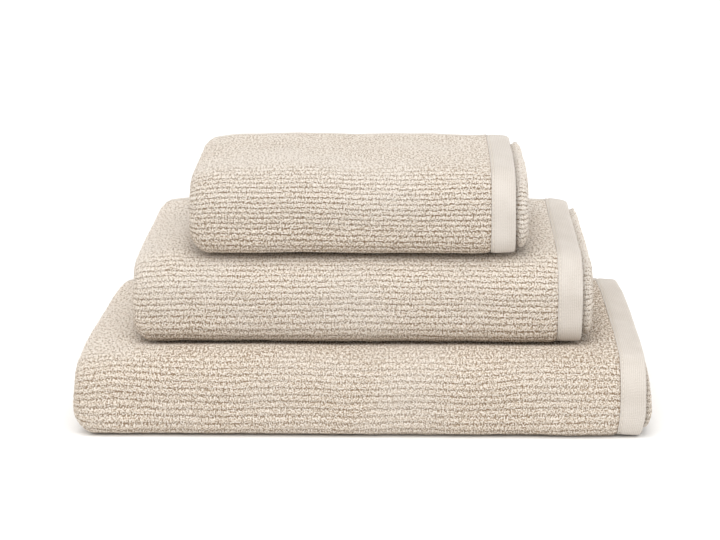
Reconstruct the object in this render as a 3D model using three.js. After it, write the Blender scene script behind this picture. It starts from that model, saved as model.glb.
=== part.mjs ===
// A stack of three folded terry towels: a hand towel on a bath towel on a bath sheet.
// Millimetres, +Z up, +X along the folded length. The origin is at the middle of the stack's base,
// the smooth folds face -Y and the visible woven end hems are near the +X ends.
//
// Each towel is a flat cloth that is folded twice:
//   1. lengthwise in three: the outer flap, the left fold, the back panel, the right fold and
//      the inner flap, which lies between the other two;
//   2. widthwise in three: the top panel, the front fold, the bottom panel, the back fold and
//      the inner panel, which lies between the other two.
// The cloth's terry field, its four hems and their stitch rows are separate solids.
import * as THREE from "three";

// Folded towels from the bottom of the stack to its top. The hem setback is how far the outer
// flap's hem stops short of the right fold.
const towels = [
  { name: "bath_sheet", length: 495, depth: 300, layerStep: 7.8, hemSetback: 7, centre: [0, 0] },
  { name: "bath_towel", length: 402, depth: 234, layerStep: 8.6, hemSetback: 10, centre: [-0.5, 13] },
  { name: "hand_towel", length: 296, depth: 176, layerStep: 8.5, hemSetback: 12, centre: [-3.5, -7] },
];

const layerGap = 0.6; // air between two layers of one towel
const towelGap = 0.4; // air between two towels
const lengthLayers = 3; // layers of the strip after the lengthwise folds
const widthPanels = 3; // strips on top of each other after the widthwise folds

const innerFlapClearance = 8; // from the left fold's bend to the inner flap's hem
const topPanelSetback = 8; // from the back fold to the top panel's edge
const innerPanelClearance = 6; // from the front fold's inside to the inner panel's edge
const frontCornerShare = 0.72; // corner radius of the front fold over the strip's thickness

const endHemWidth = 21;
const sideHemWidth = 8;
const hemThickness = 3;
const hemJointGap = 0.3; // between the terry field and a hem

const stitchInset = 1.8; // from a hem's inner edge to its stitch row
const stitchWidth = 1;
const stitchThickness = 0.5;
const stitchGap = 0.3; // between the hem's face and the stitch row

const quarterTurnSteps = 3; // facets in a quarter of a fold

const terryLook = { color: 0xd9ccbb, roughness: 0.97, metalness: 0 };
const hemLook = { color: 0xd6cdc0, roughness: 0.88, metalness: 0 };
const threadLook = { color: 0xe4dccf, roughness: 0.75, metalness: 0 };

// A fold path is a list of stations in a plane: how far along the cloth each one is,
// its point and its outward normal. It is built like a walk with a pen.
class FoldPath {
  constructor(start, normal) {
    this.stations = [{ at: 0, point: start, normal }];
  }

  get last() {
    return this.stations[this.stations.length - 1];
  }

  // Straight on to a first coordinate, with the normal unchanged.
  panelTo(first) {
    const { at, point, normal } = this.last;
    this.stations.push({ at: at + Math.abs(first - point[0]), point: [first, point[1]], normal });
    return this;
  }

  // Straight on to a second coordinate, with the normal unchanged.
  wallTo(second) {
    const { at, point, normal } = this.last;
    this.stations.push({ at: at + Math.abs(second - point[1]), point: [point[0], second], normal });
    return this;
  }

  // Round a centre, counter-clockwise, by a number of quarter turns.
  bend(radius, quarterTurns) {
    const { at, point, normal } = this.last;
    const centre = [point[0] - radius * normal[0], point[1] - radius * normal[1]];
    const startAngle = Math.atan2(normal[1], normal[0]);
    const steps = quarterTurns * quarterTurnSteps;
    for (let step = 1; step <= steps; step += 1) {
      const turn = (step / steps) * quarterTurns * (Math.PI / 2);
      const facing = [Math.cos(startAngle + turn), Math.sin(startAngle + turn)];
      this.stations.push({
        at: at + radius * turn,
        point: [centre[0] + radius * facing[0], centre[1] + radius * facing[1]],
        normal: facing,
      });
    }
    return this;
  }

  get total() {
    return this.last.at;
  }

  // The stations from one distance to another, with new ones at both ends.
  between(from, to) {
    const inside = this.stations.filter((station) => station.at > from && station.at < to);
    return [this.stationAt(from), ...inside, this.stationAt(to)];
  }

  stationAt(distance) {
    const next = Math.max(1, this.stations.findIndex((station) => station.at >= distance));
    const [a, b] = [this.stations[next - 1], this.stations[next]];
    const share = (distance - a.at) / (b.at - a.at);
    const mix = (p, q) => p.map((value, axis) => value + (q[axis] - value) * share);
    return { at: distance, point: mix(a.point, b.point), normal: mix(a.normal, b.normal) };
  }
}

// The lengthwise folds, as x and the height above the strip's middle layer.
function lengthFolds({ length, layerStep, hemSetback }) {
  const halfCloth = (layerStep - layerGap) / 2;
  const leftBend = -length / 2 + layerStep + halfCloth;
  const rightBend = length / 2 - layerStep / 2 - halfCloth;
  return new FoldPath([length / 2 - hemSetback, layerStep], [0, 1])
    .panelTo(leftBend)
    .bend(layerStep, 2)
    .panelTo(rightBend)
    .bend(layerStep / 2, 2)
    .panelTo(leftBend + innerFlapClearance);
}

// The widthwise folds of the whole strip, as y and z of the strip's middle layer.
function widthFolds({ depth, layerStep }) {
  const strip = lengthLayers * layerStep;
  const front = -depth / 2;
  const back = depth / 2;
  const frontCorner = frontCornerShare * strip;
  const frontBend = front + strip / 2 + frontCorner;
  return new FoldPath([back - topPanelSetback, 2.5 * strip], [0, 1])
    .panelTo(frontBend)
    .bend(frontCorner, 1)
    .wallTo(strip / 2 + frontCorner)
    .bend(frontCorner, 1)
    .panelTo(back - strip)
    .bend(strip / 2, 2)
    .panelTo(front + strip + innerPanelClearance);
}

// A closed strip of cloth between two stretches of the fold paths.
function clothSolid(lengthStations, widthStations, thickness, lift) {
  const rows = lengthStations.length;
  const columns = widthStations.length;
  const positions = [];
  for (const side of [1, -1]) {
    const offset = lift + (side * thickness) / 2;
    for (const { point: [x, layer], normal: [outX, outLayer] } of lengthStations) {
      const height = layer + offset * outLayer;
      for (const { point: [y, z], normal: [outY, outZ] } of widthStations) {
        positions.push(x + offset * outX, y + height * outY, z + height * outZ);
      }
    }
  }
  const geometry = new THREE.BufferGeometry();
  geometry.setAttribute("position", new THREE.Float32BufferAttribute(positions, 3));
  geometry.setIndex(closedGridFaces(rows, columns));
  geometry.computeVertexNormals();
  return geometry;
}

// Triangles of two grids that lie face to face, with the rim between them closed.
function closedGridFaces(rows, columns) {
  const faces = [];
  const outer = (row, column) => row * columns + column;
  const inner = (row, column) => rows * columns + outer(row, column);
  const quad = (a, b, c, d) => faces.push(a, b, c, a, c, d);
  for (let row = 0; row < rows - 1; row += 1) {
    for (let column = 0; column < columns - 1; column += 1) {
      quad(outer(row, column), outer(row + 1, column), outer(row + 1, column + 1), outer(row, column + 1));
      quad(inner(row, column), inner(row, column + 1), inner(row + 1, column + 1), inner(row + 1, column));
    }
  }
  const lastRow = rows - 1;
  const lastColumn = columns - 1;
  for (let row = 0; row < lastRow; row += 1) {
    const next = row + 1;
    quad(outer(row, 0), inner(row, 0), inner(next, 0), outer(next, 0));
    quad(outer(next, lastColumn), inner(next, lastColumn), inner(row, lastColumn), outer(row, lastColumn));
  }
  for (let column = 0; column < lastColumn; column += 1) {
    const next = column + 1;
    quad(outer(0, next), inner(0, next), inner(0, column), outer(0, column));
    quad(outer(lastRow, column), inner(lastRow, column), inner(lastRow, next), outer(lastRow, next));
  }
  return faces;
}

function namedMesh(name, geometry, look) {
  const mesh = new THREE.Mesh(geometry, new THREE.MeshStandardMaterial(look));
  mesh.name = name;
  return mesh;
}

// The pile field, which stops short of the hems on all four sides.
function terryField(towel, along, across) {
  const endMargin = endHemWidth + hemJointGap;
  const sideMargin = sideHemWidth + hemJointGap;
  const geometry = clothSolid(
    along.between(endMargin, along.total - endMargin),
    across.between(sideMargin, across.total - sideMargin),
    towel.layerStep - layerGap,
    0,
  );
  return namedMesh(`${towel.name}_terry`, geometry, terryLook);
}

// A hem band and its stitch row over the same run of the edge.
function hemWithStitches(name, band, stitchRow) {
  const stitchLift = (hemThickness + stitchThickness) / 2 + stitchGap;
  return [
    namedMesh(name, clothSolid(...band, hemThickness, 0), hemLook),
    namedMesh(`${name}_stitches`, clothSolid(...stitchRow, stitchThickness, stitchLift), threadLook),
  ];
}

// The two woven end hems, which run the towel's full width over both widthwise folds.
function endHems(towel, along, across) {
  const width = across.between(0, across.total);
  const end = along.total;
  const stitchFar = endHemWidth - stitchInset;
  const stitchNear = stitchFar - stitchWidth;
  return [
    ...hemWithStitches(
      `${towel.name}_outer_end_hem`,
      [along.between(0, endHemWidth), width],
      [along.between(stitchNear, stitchFar), width],
    ),
    ...hemWithStitches(
      `${towel.name}_inner_end_hem`,
      [along.between(end - endHemWidth, end), width],
      [along.between(end - stitchFar, end - stitchNear), width],
    ),
  ];
}

// The two narrow side hems, which run between the end hems over both lengthwise folds.
function sideHems(towel, along, across) {
  const margin = endHemWidth + hemJointGap;
  const length = along.between(margin, along.total - margin);
  const end = across.total;
  const stitchFar = sideHemWidth - stitchInset;
  const stitchNear = stitchFar - stitchWidth;
  return [
    ...hemWithStitches(
      `${towel.name}_top_side_hem`,
      [length, across.between(0, sideHemWidth)],
      [length, across.between(stitchNear, stitchFar)],
    ),
    ...hemWithStitches(
      `${towel.name}_inner_side_hem`,
      [length, across.between(end - sideHemWidth, end)],
      [length, across.between(end - stitchFar, end - stitchNear)],
    ),
  ];
}

// A towel in its own frame, with its origin at the middle of its base.
function foldedTowel(towel) {
  const along = lengthFolds(towel);
  const across = widthFolds(towel);
  const group = new THREE.Group();
  group.add(terryField(towel, along, across));
  group.add(...endHems(towel, along, across));
  group.add(...sideHems(towel, along, across));
  return group;
}

function towelStack() {
  const stack = new THREE.Group();
  let base = 0;
  for (const towel of towels) {
    const group = foldedTowel(towel);
    group.position.set(...towel.centre, base - layerGap / 2);
    stack.add(group);
    base += lengthLayers * widthPanels * towel.layerStep - layerGap + towelGap;
  }
  return stack;
}

export default towelStack();
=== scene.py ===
# A stack of three folded terry towels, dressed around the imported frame.
import math
import bpy
import numpy as np
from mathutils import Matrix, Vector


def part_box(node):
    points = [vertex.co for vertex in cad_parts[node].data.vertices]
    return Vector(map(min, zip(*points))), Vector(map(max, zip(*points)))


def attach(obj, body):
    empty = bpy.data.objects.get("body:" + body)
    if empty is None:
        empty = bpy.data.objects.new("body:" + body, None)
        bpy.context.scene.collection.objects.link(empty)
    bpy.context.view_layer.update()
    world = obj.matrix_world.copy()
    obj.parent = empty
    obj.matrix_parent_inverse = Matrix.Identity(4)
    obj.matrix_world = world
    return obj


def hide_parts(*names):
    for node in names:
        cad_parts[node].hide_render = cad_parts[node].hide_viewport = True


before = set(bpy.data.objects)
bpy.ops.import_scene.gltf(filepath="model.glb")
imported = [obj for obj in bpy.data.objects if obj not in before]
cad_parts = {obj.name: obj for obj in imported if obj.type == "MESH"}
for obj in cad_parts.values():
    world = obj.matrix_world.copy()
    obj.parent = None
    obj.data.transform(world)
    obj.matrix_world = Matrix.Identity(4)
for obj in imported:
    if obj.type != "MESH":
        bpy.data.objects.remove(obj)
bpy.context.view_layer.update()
bpy.ops.object.select_all(action="DESELECT")
print("frame loaded")

millimetre = 0.001

studio = {
    "cameraAt": (0.0335, -2.280, 0.668),
    "lookDown": 13.7,  # degrees
    "turnLeft": 0.93,  # degrees
    "lens": 130.0,  # millimetres
    "sensorWidth": 36.0,
    "seesUpTo": 50.0,  # metres
    "skyLight": 0.62,
    "sunLight": 2.08,
    "sunFrom": (-0.04, -0.52, 1.0),
    "sunSoftness": 60.0,  # degrees
    "sideLight": 0.80,
    "sideFrom": (1.0, -0.10, 0.30),  # and the same from the left
    "floorColour": (0.93, 0.925, 0.915),
    "floorRoughness": 0.9,
    "floorShine": 0.1,
    "floorSize": 14.0,
    "floorAt": (0, 3.0, -0.0002),
}

# What sets one towel apart from the others: lengths in metres, and tones and shares without a unit.
towelStyle = {
    "bath_sheet": {
        "ribPitch": 0.0060,
        "ribDepth": 0.0009,
        "ribShow": 0.58,  # how far the grooves between the ribs are open on the front
        "meshAlong": 0.0040,  # mesh spacing along the ribs
        "seed": 11,
        "topLightAndShade": -0.16,  # painted light and shade on the flat top: below 0 darker, as in the shadow of the towel above, above 0 paler
        "frontTone": -0.08,
        "topPaintedLight": 0.08,  # painted light: how far the flat top is paled, where the light from above falls on it
        "footPaintedShade": 0.02,  # painted shade at the foot of the front fold, shown as more of the dark hollows
        "leftTuck": 0.015,  # how far the left end draws in towards the back
        "frontSlope": 0.0035,  # how far the top slopes down to the front fold
        "backPuff": -0.0028,  # how far the back of the top swells, or sinks
        "rollHidden": 0.85,  # share of the right fold that is under the hem on the top
        "endSwell": 0.0028,  # how far both ends swell above the foot
        "rightTuck": 0.0045,  # how far the right end draws in at the back
        "wrap": 0.0150,  # how far under the next towel's foot the top starts to swell
        "leftPaintedLight": 0.26,  # painted light: how much paler the top is towards the left fold
        "rollPaintedLight": 0.09,  # painted light: how much paler the right fold is
    },
    "bath_towel": {
        "ribPitch": 0.0052, "ribDepth": 0.0010, "ribShow": 0.74, "meshAlong": 0.0036, "seed": 23,
        "topLightAndShade": 0.02, "frontTone": 0.0, "topPaintedLight": 0.24, "footPaintedShade": 0.08,
        "leftTuck": 0.007, "frontSlope": 0.0026, "backPuff": 0.0050, "rollHidden": 0.0,
        "endSwell": 0.0, "rightTuck": 0.0015, "wrap": 0.0270, "leftPaintedLight": 0.08, "rollPaintedLight": 0.10,
    },
    "hand_towel": {
        "ribPitch": 0.0048, "ribDepth": 0.0010, "ribShow": 0.95, "meshAlong": 0.0026, "seed": 37,
        "topLightAndShade": -0.01, "frontTone": 0.01, "topPaintedLight": 0.24, "footPaintedShade": 0.16,
        "leftTuck": 0.004, "frontSlope": 0.0035, "backPuff": 0.0012, "rollHidden": 0.0,
        "endSwell": -0.0002, "rightTuck": 0.0, "wrap": 0.0, "leftPaintedLight": 0.0, "rollPaintedLight": 0.20,
    },
}

# The cloth that all three are made of.
clothStyle = {
    "layerGap": 0.0006,
    "layers": 9,
    "stripLayers": 3,
    "upperCorner": 0.92,  # bend radius of the front fold's top over the strip's thickness
    "footCorner": 0.72,  # the same at its foot
    "innerFlapClearance": 0.008,
    "innerPanelClearance": 0.006,
    "hemGap": 0.00012,
}

# How the cloth settles under its own weight.
settleStyle = {
    "lowerCorner": 0.15,  # how square the front fold is at its foot
    "footTuck": 0.0075,  # how far the left end is drawn in at the foot
    "footTuckRight": 0.0008,  # the same for the right end
    "footHeight": 0.026,
    "footReach": 0.04,  # how far in from an end that starts
    "tuckWithHeight": 0.3,  # share of the left end's tuck that grows upward; the rest grows backward
    "leftTuckPower": 1.6,  # above 1 where that gathers at the very back
    "rightTuckPower": 5,
    "rightTuckReach": 0.05,
    "endWave": 0.0007,
    "faceWave": 0.0013,
    "topWave": 0.0010,
    "waveCells": (0.06, 0.045, 0.05),  # size of the waves in the ends, the faces and the top
    "waveReach": 0.05,  # how far in from an end or a face its waves fade out
    "leftDroop": 0.0030,
    "leftDroopReach": 0.035,
    "rightDroop": 0.0016,
    "rightDroopReach": (0.030, 0.006),  # how far in from the end it starts and is complete
    "swellReach": 0.07,  # how far in from an end its swelling starts
    "slopeReach": (0.085, 0.005),  # how far behind the front the top starts and stops sloping
    "backPuffReach": (0.2, 0.45),  # behind the middle, over the depth, where the back swells
    "backPuffEnds": 0.55,  # share of that which is gone at the ends
    "crown": 0.0015,
    "puff": 0.0035,  # how far a towel swells beside the one that lies on it
    "wrapWidth": 0.024,  # over what distance it swells to that at the front and back
    "endWrap": (-0.008, 0.010),  # from where to where it does so at the ends
    "rollPuff": 0.0042,  # how far the right fold swells beside the hem
    "rollStart": 0.0004,  # from the hem's foot to where that starts
    "rollEase": 0.0035,  # and to where it is complete
    "rollSpan": 1.4,  # layers from the height where the roll stays put to where it swells fully
    "rollMiddle": 0.75,  # share of the swelling at the middle of the roll's upper layer
    "rollInnerFade": 0.03,  # over what distance it fades out towards the inner panel
    "rollTopFade": (-0.02, 0.06),  # from the front fold's start, where the hem lets go of the roll
    "floorGap": 0.0002,
}


def softNoise(first, second, cell, seed):
    # Smooth lattice noise from -1 to 1 with one feature per cell.
    rng = np.random.default_rng(seed)
    size = 256
    lattice = rng.uniform(-1.0, 1.0, (size, size))
    a, b = np.asarray(first) / cell, np.asarray(second) / cell
    ia, ib = np.floor(a).astype(int), np.floor(b).astype(int)
    fa, fb = a - ia, b - ib
    fa, fb = fa * fa * (3 - 2 * fa), fb * fb * (3 - 2 * fb)
    ia, ib = ia % size, ib % size
    ja, jb = (ia + 1) % size, (ib + 1) % size
    near = lattice[ia, ib] * (1 - fb) + lattice[ia, jb] * fb
    far = lattice[ja, ib] * (1 - fb) + lattice[ja, jb] * fb
    return near * (1 - fa) + far * fa


def smoothRise(value, start, end):
    share = np.clip((value - start) / (end - start), 0.0, 1.0)
    return share * share * (3 - 2 * share)


def foldPath(start, normal, moves, bendSteps=32):
    # Stations along a fold: distance, point and outward normal, like a walk with a pen.
    rows = [(0.0, *start, *normal)]
    for move in moves:
        at, a, b, na, nb = rows[-1]
        if move[0] == "panel":
            rows.append((at + abs(move[1] - a), move[1], b, na, nb))
        elif move[0] == "wall":
            rows.append((at + abs(move[1] - b), a, move[1], na, nb))
        else:
            radius, quarterTurns = move[1:]
            centreA, centreB = a - radius * na, b - radius * nb
            facing = math.atan2(nb, na)
            for step in range(1, bendSteps + 1):
                turn = step / bendSteps * quarterTurns * math.pi / 2
                ca, cb = math.cos(facing + turn), math.sin(facing + turn)
                place = (centreA + radius * ca, centreB + radius * cb)
                rows.append((at + radius * turn, *place, ca, cb))
    return np.array(rows).T


def faceLength(path, lift):
    # Distance along the outer face, which is longer than the path wherever it bends.
    _, a, b, na, nb = path
    steps = np.hypot(np.diff(a + lift * na), np.diff(b + lift * nb))
    return np.concatenate([[0.0], np.cumsum(steps)])


def onPath(path, distance):
    return [np.interp(distance, path[0], row) for row in path[1:]]


def spread(stretches):
    # Mesh stations over neighbouring stretches, each one (from, to, spacing).
    marks = [np.array([stretches[0][0]])]
    for start, end, spacing in stretches:
        steps = max(1, round((end - start) / spacing))
        marks.append(np.linspace(start, end, steps + 1)[1:])
    return np.concatenate(marks)


class FoldedTowel:
    def __init__(self, name, above):
        style = clothStyle
        low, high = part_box(name + "_terry")
        hemLow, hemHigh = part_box(name + "_outer_end_hem")
        sideLow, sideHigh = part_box(name + "_top_side_hem")
        self.name = name
        self.style = towelStyle[name]
        self.length = high.x - low.x
        self.depth = high.y - low.y + style["layerGap"]
        self.height = high.z - low.z
        self.step = (self.height + style["layerGap"]) / style["layers"]
        self.centre = ((low.x + high.x) / 2, (low.y + high.y) / 2, low.z)
        self.pile = self.step - style["layerGap"]
        self.endHem = hemHigh.x - hemLow.x
        self.sideHem = sideHigh.y - sideLow.y
        self.along = self.lengthFolds(high.x - hemHigh.x)
        self.alongFace = faceLength(self.along, self.pile / 2)
        self.across = self.widthFolds(high.y - sideHigh.y + style["layerGap"] / 2)
        self.acrossFace = faceLength(self.across, style["stripLayers"] * self.step / 2)
        self.cover = self.footprint(above)

    def lengthFolds(self, flapSetback):
        half = self.pile / 2
        self.leftBend = -self.length / 2 + self.step + half
        self.rightBend = self.length / 2 - self.step / 2 - half
        self.hemFoot = self.length / 2 - flapSetback
        flapEnd = self.leftBend + clothStyle["innerFlapClearance"]
        moves = [("panel", self.leftBend), ("bend", self.step, 2), ("panel", self.rightBend)]
        moves += [("bend", self.step / 2, 2), ("panel", flapEnd)]
        return foldPath((self.hemFoot, self.step), (0.0, 1.0), moves)

    def widthFolds(self, topSetback):
        strip = clothStyle["stripLayers"] * self.step
        lift = clothStyle["layerGap"] / 2
        front, back = -self.depth / 2, self.depth / 2
        upper, foot = clothStyle["upperCorner"] * strip, clothStyle["footCorner"] * strip
        wall = 2 * strip - upper - foot
        self.topPanel = back - topSetback - (front + strip / 2 + upper)
        self.frontTurn = math.pi / 2 * (upper + foot) + wall
        self.bottomPanel = self.depth - strip / 2 - foot - strip
        self.backTurn = math.pi * strip / 2
        self.innerStart = self.topPanel + self.frontTurn + self.bottomPanel + self.backTurn
        moves = [("panel", front + strip / 2 + upper), ("bend", upper, 1)]
        moves += [("wall", strip / 2 + foot - lift), ("bend", foot, 1)]
        moves += [("panel", back - strip), ("bend", strip / 2, 2)]
        moves += [("panel", front + strip + clothStyle["innerPanelClearance"])]
        return foldPath((back - topSetback, 2.5 * strip - lift), (0.0, 1.0), moves)

    def footprint(self, above):
        # The box of the towel that lies on this one, in this towel's own frame.
        if above is None:
            return None
        low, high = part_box(above + "_terry")
        cx, cy, _ = self.centre
        return (low.x - cx, high.x - cx, low.y - cy, high.y - cy)


def bareCloth(towel, s, w, lift):
    # The folded cloth before it settles: s runs along the towel, w across it.
    x, layer, outX, outLayer = onPath(towel.along, s)
    y, z, outY, outZ = onPath(towel.across, w)
    x, height = x + lift * outX, layer + lift * outLayer
    # The right fold swells beside the hem wherever no cloth lies on it.
    look = settleStyle
    free = smoothRise(x, towel.hemFoot + look["rollStart"], towel.hemFoot + look["rollEase"])
    free = free * (1 - smoothRise(w, towel.innerStart - look["rollInnerFade"], towel.innerStart))
    fadeStart, fadeEnd = [towel.topPanel + reach for reach in look["rollTopFade"]]
    hidden = towel.style["rollHidden"] * (1 - smoothRise(w, fadeStart, fadeEnd))
    # The roll swells on its upper side and hardly on its underside.
    share = np.clip(height / (look["rollSpan"] * towel.step) + look["rollMiddle"], 0.0, 1.0)
    height = height + look["rollPuff"] * free * share * (1 - hidden)
    x = x - hidden * np.maximum(x - towel.hemFoot, 0.0)
    return x, y + height * outY, z + height * outZ


def beside(towel, x, y):
    # 0 under the towel above, rising to 1 a little way outside it.
    if towel.cover is None:
        return np.ones_like(x)
    x0, x1, y0, y1 = towel.cover
    ends = smoothRise(np.maximum(x0 - x, x - x1), *settleStyle["endWrap"])
    # At the front and back the cloth wraps round the foot of the towel that presses into it.
    wrap = towel.style["wrap"]
    sides = smoothRise(np.maximum(y0 - y, y - y1), -wrap, settleStyle["wrapWidth"] - wrap)
    return np.maximum(ends, sides)


def squareFoot(towel, y, z):
    # The front fold is squarer at its foot, where the weight presses it down.
    half = towel.height / 2
    rollY = y - (half - towel.depth / 2)
    rollZ = z - half
    reach = np.hypot(rollY, rollZ)
    lowerFront = (rollY < 0) & (rollZ < 0)
    slant = np.where(lowerFront, 2 * rollY * rollZ / np.maximum(reach, 1e-9) ** 2, 0.0)
    swell = 1 + settleStyle["lowerCorner"] * slant ** 4 * (reach / half) ** 2
    return y + rollY * (swell - 1), z + rollZ * (swell - 1)


def endDroop(towel, x):
    look, end = settleStyle, towel.length / 2
    droop = look["leftDroop"] * smoothRise(-x, end - look["leftDroopReach"], end)
    droopStart, droopEnd = [end - reach for reach in look["rightDroopReach"]]
    return droop + look["rightDroop"] * smoothRise(x, droopStart, droopEnd)


def drawEnds(towel, x, y, z, tall):
    # The ends draw in, most of all at the back, and swell above the foot.
    look, end = settleStyle, towel.length / 2
    deep = np.clip(y / towel.depth + 0.5, 0.0, 1.0)
    upward = look["tuckWithHeight"]
    tucked = upward * tall + (1 - upward) * deep ** look["leftTuckPower"]
    x = x + towel.style["leftTuck"] * tucked * smoothRise(-x, 0.0, end)
    rightEnd = smoothRise(x, end - look["rightTuckReach"], end)
    x = x - towel.style["rightTuck"] * deep ** look["rightTuckPower"] * rightEnd
    swollen = smoothRise(np.abs(x), end - look["swellReach"], end)
    swollen = swollen * smoothRise(z, 0.0, look["footHeight"])
    x = x + towel.style["endSwell"] * np.sign(x) * swollen
    # The foot is drawn in under both.
    low = np.clip(1 - z / look["footHeight"], 0.0, 1.0) ** 2
    footStart = end - look["footReach"]
    x = x + look["footTuck"] * low * smoothRise(-x, footStart, end)
    return x - look["footTuckRight"] * low * smoothRise(x, footStart, end)


def topRise(towel, x, y, free):
    # The top is crowned, or swells where nothing lies on it.
    look = settleStyle
    if towel.cover is None:
        middle = (1 - (2 * x / towel.length) ** 4) * (1 - (2 * y / towel.depth) ** 4)
        rise = look["crown"] * np.clip(middle, 0, 1)
    else:
        rise = look["puff"] * free
    backStart, backEnd = [towel.depth * share for share in look["backPuffReach"]]
    backward = smoothRise(y, backStart, backEnd)
    backward = backward * (1 - look["backPuffEnds"] * (2 * x / towel.length) ** 4)
    return rise + towel.style["backPuff"] * backward * free


def settle(towel, x, y, z):
    look, seed = settleStyle, towel.style["seed"]
    halfLength, halfDepth = towel.length / 2, towel.depth / 2
    tall = np.clip(z / towel.height, 0.0, 1.0)
    y, z = squareFoot(towel, y, z)
    # Slow waves in the ends, the faces and the top.
    endCell, faceCell, topCell = look["waveCells"]
    ends = smoothRise(np.abs(x), halfLength - look["waveReach"], halfLength)
    fronts = smoothRise(np.abs(y), halfDepth - look["waveReach"], halfDepth)
    free = beside(towel, x, y)
    x = x + look["endWave"] * ends * softNoise(y, z, endCell, seed)
    y = y + look["faceWave"] * fronts * softNoise(x, z, faceCell, seed + 1)
    wave = look["topWave"] * softNoise(x, y, topCell, seed + 2)
    droop = endDroop(towel, x)
    x = drawEnds(towel, x, y, z, tall)
    slopeStart, slopeEnd = [halfDepth - reach for reach in look["slopeReach"]]
    slope = towel.style["frontSlope"] * smoothRise(-y, slopeStart, slopeEnd)
    rise = topRise(towel, x, y, free)
    z = z + tall * (rise + free * wave - droop - slope)
    z = np.maximum(z, look["floorGap"])
    cx, cy, cz = towel.centre
    return np.stack([x + cx, y + cy, z + cz], axis=-1)


def clothPoint(towel, s, w, lift):
    return settle(towel, *bareCloth(towel, s, w, lift))


def closedGridFaces(rows, columns):
    index = np.arange(rows * columns).reshape(rows, columns)
    under = index + rows * columns

    def quads(a, b, c, d):
        return np.stack([a.ravel(), b.ravel(), c.ravel(), d.ravel()], axis=1)

    faces = [quads(index[:-1, :-1], index[1:, :-1], index[1:, 1:], index[:-1, 1:])]
    faces.append(quads(under[:-1, :-1], under[:-1, 1:], under[1:, 1:], under[1:, :-1]))
    faces.append(quads(index[:-1, 0], under[:-1, 0], under[1:, 0], index[1:, 0]))
    faces.append(quads(index[1:, -1], under[1:, -1], under[:-1, -1], index[:-1, -1]))
    faces.append(quads(index[0, 1:], under[0, 1:], under[0, :-1], index[0, :-1]))
    faces.append(quads(index[-1, :-1], under[-1, :-1], under[-1, 1:], index[-1, 1:]))
    return np.concatenate(faces)


def newPiece(name, points, faces, pattern):
    mesh = bpy.data.meshes.new(name)
    mesh.vertices.add(len(points))
    mesh.vertices.foreach_set("co", points.astype(np.float32).ravel())
    mesh.loops.add(faces.size)
    mesh.loops.foreach_set("vertex_index", faces.astype(np.int32).ravel())
    mesh.polygons.add(len(faces))
    mesh.polygons.foreach_set("loop_start", np.arange(0, faces.size, 4, dtype=np.int32))
    mesh.update(calc_edges=True)
    mesh.polygons.foreach_set("use_smooth", np.ones(len(faces), dtype=bool))
    layer = mesh.uv_layers.new(name="clothPattern")
    layer.data.foreach_set("uv", pattern[faces.ravel()].astype(np.float32).ravel())
    mesh.validate()
    piece = bpy.data.objects.new(name, mesh)
    bpy.context.collection.objects.link(piece)
    return piece


def sheetPiece(name, towel, sGrid, wGrid, outer, inner, pattern):
    points = [clothPoint(towel, sGrid, wGrid, lift).reshape(-1, 3) for lift in (outer, inner)]
    uv = np.stack([p.ravel() for p in pattern], axis=1)
    faces = closedGridFaces(*sGrid.shape)
    return newPiece(name, np.concatenate(points), faces, np.concatenate([uv, uv]))


# The ribs and the clumps of loops in the pile. Most pairs are a strength and the size of its features.
reliefStyle = {
    "ribBend": (0.30, 0.05),  # how far a rib wanders, over its pitch
    "ribWiggle": (0.10, 0.012),
    "ribUneven": (0.18, 0.06),  # how much of a rib's depth comes and goes
    "ribCrest": 0.6,  # below 1 for a broad crest and a narrow groove
    "ribsOnTop": 0.3,  # depth of the ribs on the flat top over that on the front
    "frontBlend": (-0.01, 0.03),  # from the front fold's start, where they deepen
    "nubDepth": 0.00035,  # height of the clumps of loops
    "smallNubs": (0.6, 0.0034),
    "largeNubs": (0.4, 0.0061),
    "pileEdge": 0.0045,  # how far the pile thins out towards a hem
    "pileEdgeShare": 0.73,  # what is left of the pile's thickness beside a hem
}


def facePlace(towel, s, w):
    # Place on the cloth's outer face in metres: along the ribs, and across them with a slight
    # bend, so that no rib runs dead straight.
    pitch, seed = towel.style["ribPitch"], towel.style["seed"]
    along = np.interp(s, towel.along[0], towel.alongFace)
    across = np.interp(w, towel.across[0], towel.acrossFace)
    far, farCell = reliefStyle["ribBend"]
    near, nearCell = reliefStyle["ribWiggle"]
    bend = far * softNoise(along, across, farCell, seed + 5)
    bend = bend + near * softNoise(along, across, nearCell, seed + 6)
    return along, across + pitch * bend


def terryRelief(towel, s, w, side):
    look, relief = towel.style, reliefStyle
    along, across = facePlace(towel, s, w)
    ridge = 0.5 + 0.5 * np.cos(2 * math.pi * across / look["ribPitch"])
    uneven, unevenCell = relief["ribUneven"]
    strength = 1 - uneven + uneven * softNoise(along, across, unevenCell, look["seed"] + 7)
    least = relief["ribsOnTop"]
    blendStart, blendEnd = [towel.topPanel + reach for reach in relief["frontBlend"]]
    front = smoothRise(w, blendStart, blendEnd)
    strength = strength * (least + (1 - least) * front)
    small, smallCell = relief["smallNubs"]
    large, largeCell = relief["largeNubs"]
    nubs = softNoise(along, across, smallCell, look["seed"] + 8 + side) * small
    nubs = nubs + softNoise(along, across, largeCell, look["seed"] + 10 + side) * large
    ribs = look["ribDepth"] * (ridge ** relief["ribCrest"] - 1) * strength
    return ribs + relief["nubDepth"] * (nubs - small)


def edgeTaper(s, w, margins):
    # The pile thins out towards the hems, to lie level with them.
    reach = reliefStyle["pileEdge"]
    (s0, s1), (w0, w1) = margins
    gap = np.minimum(np.minimum(s - s0, s1 - s), np.minimum(w - w0, w1 - w))
    least = reliefStyle["pileEdgeShare"]
    return least + (1 - least) * smoothRise(gap, 0.0, reach)


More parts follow.
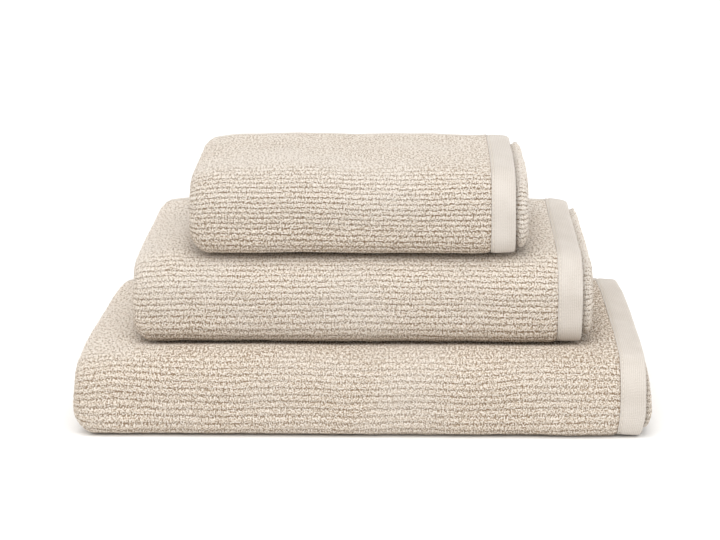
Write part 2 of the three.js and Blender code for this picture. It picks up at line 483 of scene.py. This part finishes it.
# Mesh spacings of the cloth; the spacing along the ribs is each towel's own.
meshStyle = {
    "acrossRibs": 0.0016,  # where the cloth shows
    "leftTurn": 0.0019,
    "rightTurn": 0.0016,
    "hidden": 0.022,
    "hiddenRows": 0.011,
    "edgeSteps": 4,  # rows where the pile thins out towards a hem
    "besideTurn": 0.02,  # how far beside a fold or an edge the spacing stays fine
    "behindLeftTurn": 0.03,  # how far behind the left fold it is wider
    "behindShare": 1.5,  # times the towel's own spacing there
    "coveredShare": 2,  # times the spacing of the rows under the next towel
    "frontShare": 0.8,  # and on the front fold
}


def edgeMarks(start, end):
    reach = reliefStyle["pileEdge"]
    spacing = reach / meshStyle["edgeSteps"]
    return [(start, start + reach, spacing), (end - reach, end, spacing)]


def terryStations(towel):
    fine, coarse = towel.style["meshAlong"], meshStyle["hidden"]
    fineEdge, fineBehind = meshStyle["besideTurn"], meshStyle["behindLeftTurn"]
    margin = towel.endHem + clothStyle["hemGap"]
    sideMargin = towel.sideHem + clothStyle["hemGap"]
    flap = towel.along[1][0] - towel.leftBend
    leftTurn, rightTurn = math.pi * towel.step, math.pi * towel.step / 2
    backPanel = towel.rightBend - towel.leftBend
    sEnd, wEnd = towel.along[0][-1], towel.across[0][-1]
    near, far = edgeMarks(margin, sEnd - margin)
    leftDone = flap + leftTurn
    rightStart = leftDone + backPanel
    rightDone = rightStart + rightTurn
    s = spread([near, (near[1], flap, fine),
                (flap, leftDone, meshStyle["leftTurn"]),
                (leftDone, leftDone + fineBehind, fine * meshStyle["behindShare"]),
                (leftDone + fineBehind, rightStart - fineEdge, coarse),
                (rightStart - fineEdge, rightStart, fine),
                (rightStart, rightDone, meshStyle["rightTurn"]),
                (rightDone, rightDone + fineEdge, fine),
                (rightDone + fineEdge, far[0], coarse), far])
    row, topPanel = meshStyle["acrossRibs"], towel.topPanel
    first, last = edgeMarks(sideMargin, wEnd - sideMargin)
    frontDone = topPanel + towel.frontTurn
    backStart = frontDone + towel.bottomPanel
    backDone = backStart + towel.backTurn
    # Rows are further apart where the next towel lies on this one.
    backStrip, frontStrip = first[1] + fineEdge, topPanel - fineEdge
    middleRow = row * meshStyle["coveredShare"] if towel.cover else row
    w = spread([first, (first[1], backStrip, row),
                (backStrip, frontStrip, middleRow),
                (frontStrip, topPanel, row),
                (topPanel, frontDone, row * meshStyle["frontShare"]),
                (frontDone, backStart, meshStyle["hiddenRows"]),
                (backStart, backDone, row),
                (backDone, last[0], meshStyle["hiddenRows"]), last])
    return s, w, ((margin, sEnd - margin), (sideMargin, wEnd - sideMargin))


def makeTerry(towel):
    s, w, margins = terryStations(towel)
    sGrid, wGrid = np.meshgrid(s, w, indexing="ij")
    taper = edgeTaper(sGrid, wGrid, margins) * towel.pile / 2
    outer = taper + terryRelief(towel, sGrid, wGrid, 0)
    inner = -taper - terryRelief(towel, sGrid, wGrid, 1)
    pattern = facePlace(towel, sGrid, wGrid)
    piece = sheetPiece(towel.name + "_cloth", towel, sGrid, wGrid, outer, inner, pattern)
    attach(piece, towel.name)
    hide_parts(towel.name + "_terry")
    print(piece.name, "has", 2 * len(piece.data.polygons), "triangles")
    return piece


hemStyle = {
    "thickness": 0.0034,
    "raise": 0.0013,  # how far a hem lies above the middle of the cloth
    "topRaise": 0.0016,  # the same for the hem on the top panel's edge
    "seamInset": 0.0020,  # from the hem's inner edge to the middle of its stitch row
    "seamDepth": 0.0005,
    "seamWidth": 0.0009,
    "tuckedIn": 0.9,  # what is left of a hem's thickness where it meets the pile
    "freeEdge": 0.2,  # and at its free edge
    "roundness": 6,  # the power that shapes the free edge
    "cornerRadius": 0.006,
    "cornerRun": 4,  # radii over which a corner's rounding fades out
    "endColumns": 22,
    "sideColumns": 12,
    "evenColumns": 0.6,  # below 1 for closer columns towards both edges
    "rowSpacing": 0.0045,
    "endRowShare": 0.6,  # times that on an end hem
    "wave": 0.0005,
    "waveCell": 0.018,
    "waveSeed": 40,
}

stitchStyle = {
    "spacing": 0.0030,
    "length": 0.0019,
    "width": 0.0008,
    "height": 0.0007,
    "lift": 0.0002,
}


def hemLift(share, seamGap, along, cross, seed):
    # Half thickness of a hem and its waviness: share runs from the pile to the free edge, which
    # is rounded, and the band is pulled in along the seam.
    look = hemStyle
    least = np.where(share < 0.5, look["tuckedIn"], look["freeEdge"])
    rounded = np.clip(1 - np.abs(2 * share - 1) ** look["roundness"], 0.0, 1.0)
    fullness = np.maximum(np.sqrt(rounded), least)
    seam = look["seamDepth"] * np.exp(-(seamGap / look["seamWidth"]) ** 2)
    wave = look["wave"] * softNoise(along, cross, look["waveCell"], seed)
    return look["thickness"] / 2 * fullness - seam, wave


def hemMarks(start, end, count):
    # Closer together towards both edges.
    turn = np.linspace(0, math.pi, count + 1)
    even = np.linspace(0, 1, count + 1)
    share = hemStyle["evenColumns"]
    return start + (end - start) * (share * even + (1 - share) * (1 - np.cos(turn)) / 2)


def roundedCorners(w, total, fromFreeEdge):
    # An end hem's outer corners are rounded a little.
    radius = hemStyle["cornerRadius"]
    share = np.clip(1 - fromFreeEdge / radius, 0.0, 1.0)
    drop = radius * (1 - np.sqrt(1 - share ** 2))
    run = hemStyle["cornerRun"] * radius
    nearStart = np.clip(1 - w / run, 0.0, 1.0)
    nearEnd = np.clip(1 - (total - w) / run, 0.0, 1.0)
    return w + drop * (nearStart - nearEnd)


def makeHem(towel, label, acrossEnd, start, end, innerEdge, run):
    # acrossEnd is True for an end hem, whose band is a stretch of s and runs along w.
    narrow = hemMarks(start, end, hemStyle["endColumns" if acrossEnd else "sideColumns"])
    longRun = spread(run)
    s, w = (narrow, longRun) if acrossEnd else (longRun, narrow)
    sGrid, wGrid = np.meshgrid(s, w, indexing="ij")
    cross, along = (sGrid, wGrid) if acrossEnd else (wGrid, sGrid)
    seamAt = innerEdge + hemStyle["seamInset"] * (1 if innerEdge == start else -1)
    if acrossEnd:
        freeEdge = end if innerEdge == start else start
        wGrid = roundedCorners(wGrid, towel.across[0][-1], np.abs(sGrid - freeEdge))
    share = np.abs(cross - innerEdge) / (end - start)
    waveSeed = towel.style["seed"] + hemStyle["waveSeed"]
    half, wave = hemLift(share, cross - seamAt, along, cross, waveSeed)
    middle = wave + hemStyle["topRaise" if label == "top_side_hem" else "raise"]
    faceAlong, faceAcross = facePlace(towel, sGrid, wGrid)
    pattern = (faceAlong, faceAcross) if acrossEnd else (faceAcross, faceAlong)
    name = towel.name + "_" + label
    piece = sheetPiece(name + "_band", towel, sGrid, wGrid, middle + half, middle - half, pattern)
    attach(piece, towel.name)
    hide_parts(name)
    seam = makeStitches(towel, name, acrossEnd, seamAt, longRun)
    return [piece, seam]


def stitchShape():
    # One stitch as a small rounded bead of thread, modelled once.
    bpy.ops.object.select_all(action="DESELECT")
    lying = (0, math.pi / 2, 0)
    bpy.ops.mesh.primitive_uv_sphere_add(segments=8, ring_count=5, radius=0.5, rotation=lying)
    bpy.ops.object.transform_apply(location=False, rotation=True, scale=False)
    bead = bpy.context.object
    bead.scale = (stitchStyle["length"], stitchStyle["width"], stitchStyle["height"])
    bpy.ops.object.transform_apply(location=False, rotation=False, scale=True)
    corners = np.array([v.co for v in bead.data.vertices])
    faces = [list(p.vertices) for p in bead.data.polygons]
    bpy.data.objects.remove(bead)
    return corners, faces


def makeStitches(towel, name, acrossEnd, seamAt, longRun):
    corners, faces = stitchShape()
    start, end = longRun[0], longRun[-1]
    count = int((end - start) / stitchStyle["spacing"]) - 1
    places = start + (end - start) * (np.arange(count) + 1) / (count + 1)
    along = (places[:, None] + corners[None, :, 0]).ravel()
    cross = np.tile(seamAt + corners[:, 1], count)
    raised = hemStyle["topRaise" if name.endswith("top_side_hem") else "raise"]
    surface = hemStyle["thickness"] / 2 + raised - hemStyle["seamDepth"] + stitchStyle["lift"]
    waveSeed = towel.style["seed"] + hemStyle["waveSeed"]
    wave = hemStyle["wave"] * softNoise(along, cross, hemStyle["waveCell"], waveSeed)
    lift = surface + wave + np.tile(corners[:, 2], count)
    s, w = (cross, along) if acrossEnd else (along, cross)
    points = clothPoint(towel, s, w, lift)
    if acrossEnd:  # s and w have changed places, so the faces are turned back
        faces = [f[::-1] for f in faces]
    size = len(corners)
    allFaces = [[v + k * size for v in f] for k in range(count) for f in faces]
    mesh = bpy.data.meshes.new(name + "_thread")
    mesh.from_pydata(points.tolist(), [], allFaces)
    mesh.update()
    mesh.polygons.foreach_set("use_smooth", np.ones(len(mesh.polygons), dtype=bool))
    piece = bpy.data.objects.new(name + "_thread", mesh)
    bpy.context.collection.objects.link(piece)
    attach(piece, towel.name)
    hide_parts(name + "_stitches")
    return piece


def makeHems(towel):
    endHem, sideHem = towel.endHem, towel.sideHem
    sEnd, wEnd = towel.along[0][-1], towel.across[0][-1]
    margin = endHem + clothStyle["hemGap"]
    row = hemStyle["rowSpacing"]
    full = [(0.0, wEnd, row * hemStyle["endRowShare"])]
    inside = [(margin, sEnd - margin, row)]
    made = makeHem(towel, "outer_end_hem", True, 0.0, endHem, endHem, full)
    made += makeHem(towel, "inner_end_hem", True, sEnd - endHem, sEnd, sEnd - endHem, full)
    made += makeHem(towel, "top_side_hem", False, 0.0, sideHem, sideHem, inside)
    made += makeHem(towel, "inner_side_hem", False, wEnd - sideHem, wEnd, wEnd - sideHem, inside)
    return made


class Nodes:
    # Short hands for building a material's node tree.
    def __init__(self, name):
        self.material = bpy.data.materials.new(name)
        self.material.use_nodes = True
        self.tree = self.material.node_tree
        self.shader = self.tree.nodes["Principled BSDF"]

    def add(self, kind, **settings):
        node = self.tree.nodes.new(kind)
        for key, value in settings.items():
            setattr(node, key, value)
        return node

    def put(self, socket, value):
        if isinstance(value, bpy.types.NodeSocket):
            self.tree.links.new(value, socket)
        else:
            socket.default_value = value

    def maths(self, operation, first, second=0.0, third=0.0):
        node = self.add("ShaderNodeMath", operation=operation)
        for socket, value in zip(node.inputs, (first, second, third)):
            self.put(socket, value)
        return node.outputs[0]

    def remap(self, value, low, high, toLow=0.0, toHigh=1.0):
        node = self.add("ShaderNodeMapRange", interpolation_type="SMOOTHSTEP")
        for socket, given in zip(node.inputs, (value, low, high, toLow, toHigh)):
            self.put(socket, given)
        return node.outputs[0]

    def mixColour(self, share, first, second):
        node = self.add("ShaderNodeMix", data_type="RGBA")
        self.put(node.inputs[0], share)
        self.put(node.inputs[6], first)
        self.put(node.inputs[7], second)
        return node.outputs[2]

    def noise(self, vector, scale, detail=2.0, rough=0.5):
        node = self.add("ShaderNodeTexNoise", noise_dimensions="2D")
        self.put(node.inputs["Vector"], vector)
        node.inputs["Scale"].default_value = scale
        node.inputs["Detail"].default_value = detail
        node.inputs["Roughness"].default_value = rough
        return node.outputs["Fac"]

    def patternPlace(self):
        # The cloth's own coordinates, in millimetres.
        uv = self.add("ShaderNodeUVMap", uv_map="clothPattern")
        scale = self.add("ShaderNodeVectorMath", operation="SCALE")
        self.put(scale.inputs[0], uv.outputs["UV"])
        scale.inputs["Scale"].default_value = 1 / millimetre
        split = self.add("ShaderNodeSeparateXYZ")
        self.put(split.inputs[0], scale.outputs[0])
        return scale.outputs[0], split.outputs[0], split.outputs[1]

    def pair(self, first, second):
        join = self.add("ShaderNodeCombineXYZ")
        self.put(join.inputs[0], first)
        self.put(join.inputs[1], second)
        return join.outputs[0]

    def bump(self, height, distance, strength):
        node = self.add("ShaderNodeBump")
        self.put(node.inputs["Height"], height)
        node.inputs["Distance"].default_value = distance
        node.inputs["Strength"].default_value = strength
        self.put(self.shader.inputs["Normal"], node.outputs[0])


terryColours = {
    # painted highlight on the loops' tips
    "tip": (0.96, 0.885, 0.80, 1),
    "loop": (0.74, 0.62, 0.49, 1),
    # painted shade down between the loops and in the grooves
    "hollow": (0.28, 0.18, 0.10, 1),
    # pale colour for randomly faded patches and for painted light on the flat top
    "fadedAndLit": (0.89, 0.835, 0.77, 1),
}

# Lengths in millimetres; a scale is the number of features a millimetre.
terryGrain = {
    "loopSize": 1.5,
    "domeRim": (0.85, 0.05),  # from the rim of a loop's dome to its top
    "crinkle": 1.0,  # how far the loops are pushed about
    "crinkleScale": 0.7,
    "domeShare": 0.34,
    "speckleShare": 0.44,
    "speckleScale": 0.80,
    "speckleRange": (0.35, 0.65),  # where in the noise it goes from none to full
    "fibreShare": 0.20,
    "fibreScale": 1.9,
    "fibreRange": (0.32, 0.68),
    "patchScale": 0.012,
    "patchRange": (0.35, 0.75),
    "patchFade": 0.22,  # how far the palest patches have faded
    "grooveStart": 0.56,  # from a rib's crest to where its groove starts, over half a pitch
    "grooveEnd": 1.15,
    "grooveDepth": 0.54,
    "overhang": 0.85,  # how far the loops hang over the grooves
    "grooveOnTop": 0.15,  # how far the grooves are open on the flat top
    "fleckScale": 0.56,
    "fleckRange": (0.2, 0.8),
    "fleckStretch": 2.0,  # how much longer a fleck is across the ribs
    "topSpeckle": 1.1,  # how strongly the flat top is flecked
    "frontSpeckle": 0.22,
    "frontBlend": (-10.0, 36.0),  # from the front fold's start, where the looks change
    "footFrom": 0.35,  # share of the front fold above its foot with painted shade
    "leftLightReach": (-80.0, -10.0),  # from the left fold, where painted light makes the top paler
    "rollLightReach": (-4.0, 2.0),  # from the right fold, where painted light makes the roll paler
    "loopTones": (-0.06, 0.48),  # tones from the painted shade of a hollow to where the loop shows
    "tipTones": (0.32, 0.68),  # and on to the painted highlight on its tip
    "bumpHeight": 1.12,
    "roughness": (0.86, 0.98),
    "shine": 0.2,
    "sheen": 0.25,
    "sheenRoughness": 0.6,
}


def loopPile(n, place):
    # Loops: crinkled little domes of yarn with finer yarn ends between them.
    grain = terryGrain
    push = n.add("ShaderNodeTexNoise", noise_dimensions="2D")
    n.put(push.inputs["Vector"], place)
    push.inputs["Scale"].default_value = grain["crinkleScale"]
    push.inputs["Detail"].default_value = 1.0
    shift = n.add("ShaderNodeVectorMath", operation="MULTIPLY_ADD")
    n.put(shift.inputs[0], push.outputs["Color"])
    shift.inputs[1].default_value = (grain["crinkle"],) * 3
    n.put(shift.inputs[2], place)
    loops = n.add("ShaderNodeTexVoronoi", voronoi_dimensions="2D", feature="F1")
    n.put(loops.inputs["Vector"], shift.outputs[0])
    loops.inputs["Scale"].default_value = 1 / grain["loopSize"]
    loops.inputs["Randomness"].default_value = 1.0
    dome = n.remap(loops.outputs["Distance"], *grain["domeRim"])
    speckle = n.remap(n.noise(place, grain["speckleScale"], 1.0, 0.5), *grain["speckleRange"])
    fibre = n.remap(n.noise(place, grain["fibreScale"], 1.0, 0.6), *grain["fibreRange"])
    pile = n.maths("MULTIPLY", speckle, grain["speckleShare"])
    pile = n.maths("MULTIPLY_ADD", dome, grain["domeShare"], pile)
    return n.maths("MULTIPLY_ADD", fibre, grain["fibreShare"], pile), fibre


def ribGrooves(n, across, pitch, pile):
    # Grooves between the ribs, with the loops hanging over them from both sides.
    turn = n.maths("FRACT", n.maths("MULTIPLY_ADD", across, 1 / pitch, 0.5))
    fromCrest = n.maths("MULTIPLY", n.maths("ABSOLUTE", n.maths("SUBTRACT", turn, 0.5)), 2.0)
    lean = n.maths("SUBTRACT", 0.5, pile)
    ragged = n.maths("MULTIPLY_ADD", lean, terryGrain["overhang"], fromCrest)
    return n.remap(ragged, terryGrain["grooveStart"], terryGrain["grooveEnd"])


def paintedLightOnEnds(n, towel, along):
    # Painted light: the top towards the left fold and the right fold are made paler.
    leftTurn = towel.along[1][0] - towel.leftBend
    rightTurn = leftTurn + math.pi * towel.step + towel.rightBend - towel.leftBend
    turns = np.interp([leftTurn, rightTurn], towel.along[0], towel.alongFace) / millimetre
    leftStart, leftEnd = [float(turns[0]) + reach for reach in terryGrain["leftLightReach"]]
    rollStart, rollEnd = [float(turns[1]) + reach for reach in terryGrain["rollLightReach"]]
    paintedLightLeft = n.remap(along, leftStart, leftEnd, 0.0, towel.style["leftPaintedLight"])
    paintedLightRoll = n.remap(along, rollStart, rollEnd, 0.0, towel.style["rollPaintedLight"])
    return paintedLightLeft, paintedLightRoll


def terryMaterial(towel):
    grain, look = terryGrain, towel.style
    frontFold = [towel.topPanel, towel.topPanel + towel.frontTurn]
    bounds = np.interp(frontFold, towel.across[0], towel.acrossFace)
    frontStart, frontEnd = [float(value) / millimetre for value in bounds]
    blendStart, blendEnd = [frontStart + reach for reach in grain["frontBlend"]]
    n = Nodes(towel.name + "_terry_pile")
    place, along, across = n.patternPlace()

    def topToFront(top, front):
        return n.remap(across, blendStart, blendEnd, top, front)

    pile, fibre = loopPile(n, place)
    groove = ribGrooves(n, across, look["ribPitch"] / millimetre, pile)
    groove = n.maths("MULTIPLY", groove, topToFront(grain["grooveOnTop"], look["ribShow"]))
    height = n.maths("MULTIPLY_ADD", groove, -grain["grooveDepth"], pile)
    n.bump(height, grain["bumpHeight"] * millimetre, 1.0)
    # Tone: flecks of painted light and shade on the flat top, painted shade at the foot, and painted
    # light on the top towards the left fold and on the right fold.
    longFlecks = n.pair(along, n.maths("MULTIPLY", across, 1 / grain["fleckStretch"]))
    fleck = n.remap(n.noise(longFlecks, grain["fleckScale"], 1.0), *grain["fleckRange"])
    flecked = topToFront(grain["topSpeckle"], grain["frontSpeckle"])
    tone = n.maths("MULTIPLY_ADD", n.maths("SUBTRACT", fleck, 0.5), flecked, height)
    # Painted light and shade on the flat top, and each towel's own tone on the front.
    towelToneAndTopShade = topToFront(look["topLightAndShade"], look["frontTone"])
    footStart = frontStart + grain["footFrom"] * (frontEnd - frontStart)
    # Painted shade, darker towards the foot of the front fold.
    footShadeTone = n.remap(across, footStart, frontEnd, 0.0, -look["footPaintedShade"])
    tone = n.maths("ADD", tone, n.maths("ADD", towelToneAndTopShade, footShadeTone))
    paintedLightLeft, paintedLightRoll = paintedLightOnEnds(n, towel, along)
    paintedLight = n.maths("MULTIPLY_ADD", paintedLightLeft, topToFront(1.0, 0.0), paintedLightRoll)
    tone = n.maths("ADD", tone, paintedLight)
    # Colour: painted shade, warm and dark, down between the loops and in the grooves, and a painted
    # highlight, pale, on their tips.
    loopShare = n.remap(tone, *grain["loopTones"])
    colour = n.mixColour(loopShare, terryColours["hollow"], terryColours["loop"])
    colour = n.mixColour(n.remap(tone, *grain["tipTones"]), colour, terryColours["tip"])
    # Randomly faded patches, and painted light that pales the flat top.
    patch = n.noise(place, grain["patchScale"], 2.0)
    patchFade = n.remap(patch, *grain["patchRange"], 0.0, grain["patchFade"])
    topLightAndFade = n.maths("ADD", topToFront(look["topPaintedLight"], 0.0), patchFade)
    colour = n.mixColour(topLightAndFade, colour, terryColours["fadedAndLit"])
    n.put(n.shader.inputs["Base Color"], colour)
    n.put(n.shader.inputs["Roughness"], n.remap(fibre, 0.2, 0.8, *grain["roughness"]))
    n.shader.inputs["Specular IOR Level"].default_value = grain["shine"]
    n.shader.inputs["Sheen Weight"].default_value = grain["sheen"]
    n.shader.inputs["Sheen Roughness"].default_value = grain["sheenRoughness"]
    n.shader.inputs["Sheen Tint"].default_value = terryColours["loop"]
    return n.material


hemColours = {
    "thread": (0.705, 0.652, 0.594, 1),
    "between": (0.50, 0.447, 0.39, 1),
    "cloudy": (0.73, 0.682, 0.632, 1),
}

# Lengths in millimetres; a scale is the number of features a millimetre.
weaveStyle = {
    "warpPitch": 1.6,
    "weftPitch": 1.3,
    "warpShare": 0.30,
    "weftShare": 0.25,
    "fibreShare": 0.45,
    "fibreScale": 0.9,
    "fibreStretch": 3.0,  # how much longer a fibre is than it is wide
    "fibreRange": (0.3, 0.7),
    "cloudScale": 0.035,
    "cloudRange": (0.3, 0.75),
    "cloudShare": 0.3,
    "threadTones": (0.15, 0.95),  # heights from between the threads to on top of them
    "bumpHeight": 0.22,
    "bumpStrength": 0.8,
    "roughness": (0.72, 0.9),
    "shine": 0.25,
    "sheen": 0.12,
}


def hemMaterial():
    n = Nodes("woven_hem_band")
    place, across, along = n.patternPlace()
    weave = weaveStyle

    def threads(direction, pitch):
        wave = n.maths("COSINE", n.maths("MULTIPLY", direction, 2 * math.pi / pitch))
        return n.maths("MULTIPLY_ADD", wave, 0.5, 0.5)

    warp = threads(across, weave["warpPitch"])
    weft = threads(along, weave["weftPitch"])
    longFibres = n.pair(n.maths("MULTIPLY", across, weave["fibreStretch"]), along)
    fibre = n.noise(longFibres, weave["fibreScale"], 3.0, 0.6)
    cloud = n.noise(place, weave["cloudScale"], 2.0)
    height = n.maths("MULTIPLY", warp, weave["warpShare"])
    height = n.maths("MULTIPLY_ADD", weft, weave["weftShare"], height)
    fibres = n.remap(fibre, *weave["fibreRange"])
    height = n.maths("MULTIPLY_ADD", fibres, weave["fibreShare"], height)
    n.bump(height, weave["bumpHeight"] * millimetre, weave["bumpStrength"])
    onThread = n.remap(height, *weave["threadTones"])
    colour = n.mixColour(onThread, hemColours["between"], hemColours["thread"])
    cloudy = n.remap(cloud, *weave["cloudRange"], 0.0, weave["cloudShare"])
    colour = n.mixColour(cloudy, colour, hemColours["cloudy"])
    n.put(n.shader.inputs["Base Color"], colour)
    n.put(n.shader.inputs["Roughness"], n.remap(fibre, 0.2, 0.8, *weave["roughness"]))
    n.shader.inputs["Specular IOR Level"].default_value = weave["shine"]
    n.shader.inputs["Sheen Weight"].default_value = weave["sheen"]
    return n.material


threadStyle = {
    "shade": (0.62, 0.56, 0.48, 1),
    "light": (0.82, 0.77, 0.70, 1),
    "twistScale": 2600.0,  # how fine the twist is
    "bumpHeight": 0.0001,
    "bumpStrength": 0.5,
    "roughness": (0.6, 0.8),
    "sheen": 0.1,
}


def threadMaterial():
    n = Nodes("sewing_thread")
    place = n.add("ShaderNodeTexCoord").outputs["Object"]
    twist = n.add("ShaderNodeTexNoise")
    n.put(twist.inputs["Vector"], place)
    twist.inputs["Scale"].default_value = threadStyle["twistScale"]
    colour = n.mixColour(twist.outputs["Fac"], threadStyle["shade"], threadStyle["light"])
    n.put(n.shader.inputs["Base Color"], colour)
    n.bump(twist.outputs["Fac"], threadStyle["bumpHeight"], threadStyle["bumpStrength"])
    rough = n.remap(twist.outputs["Fac"], 0.3, 0.7, *threadStyle["roughness"])
    n.put(n.shader.inputs["Roughness"], rough)
    n.shader.inputs["Sheen Weight"].default_value = threadStyle["sheen"]
    return n.material


def makeCamera():
    data = bpy.data.cameras.new("studioCamera")
    camera = bpy.data.objects.new("studioCamera", data)
    bpy.context.collection.objects.link(camera)
    camera.location = studio["cameraAt"]
    tilt, turn = math.radians(90 - studio["lookDown"]), math.radians(studio["turnLeft"])
    camera.rotation_euler = (tilt, 0, turn)
    data.lens = studio["lens"]
    data.sensor_width = studio["sensorWidth"]
    data.clip_end = studio["seesUpTo"]
    bpy.context.scene.camera = camera


def softSun(name, fromDirection, softness, strength):
    bpy.ops.object.select_all(action="DESELECT")
    bpy.ops.object.light_add(type="SUN", location=fromDirection)
    lamp = bpy.context.object
    lamp.name = name
    lamp.data.energy = strength
    lamp.data.angle = math.radians(softness)
    x, y, z = fromDirection
    tilt, turn = math.atan2(math.hypot(x, y), z), math.atan2(y, x) + math.pi / 2
    lamp.rotation_euler = (tilt, 0, turn)


def makeStudio():
    scene = bpy.context.scene
    scene.view_settings.view_transform = "Standard"
    scene.view_settings.look = "None"
    world = bpy.data.worlds.new("studioSky")
    scene.world = world
    world.use_nodes = True
    sky = world.node_tree.nodes["Background"]
    sky.inputs[0].default_value = (1.0, 1.0, 1.0, 1)
    sky.inputs[1].default_value = studio["skyLight"]
    softSun("softSun", studio["sunFrom"], studio["sunSoftness"], studio["sunLight"])
    x, y, z = studio["sideFrom"]
    softSun("rightPanel", (x, y, z), studio["sunSoftness"], studio["sideLight"])
    softSun("leftPanel", (-x, y, z), studio["sunSoftness"], studio["sideLight"])
    bpy.ops.object.select_all(action="DESELECT")
    bpy.ops.mesh.primitive_plane_add(size=studio["floorSize"], location=studio["floorAt"])
    floor = bpy.context.object
    floor.name = "studioFloor"
    n = Nodes("studio_floor")
    n.shader.inputs["Base Color"].default_value = (*studio["floorColour"], 1)
    n.shader.inputs["Roughness"].default_value = studio["floorRoughness"]
    n.shader.inputs["Specular IOR Level"].default_value = studio["floorShine"]
    floor.data.materials.append(n.material)
    return floor


makeCamera()
floor = makeStudio()
print("studio ready")

hemCloth = hemMaterial()
threadCotton = threadMaterial()
stackOrder = ["bath_sheet", "bath_towel", "hand_towel"]
for position, towelName in enumerate(stackOrder):
    above = stackOrder[position + 1] if position + 1 < len(stackOrder) else None
    towel = FoldedTowel(towelName, above)
    cloth = makeTerry(towel)
    cloth.data.materials.append(terryMaterial(towel))
    hems = makeHems(towel)
    for piece in hems:
        piece.data.materials.append(threadCotton if piece.name.endswith("_thread") else hemCloth)

bpy.context.view_layer.update()
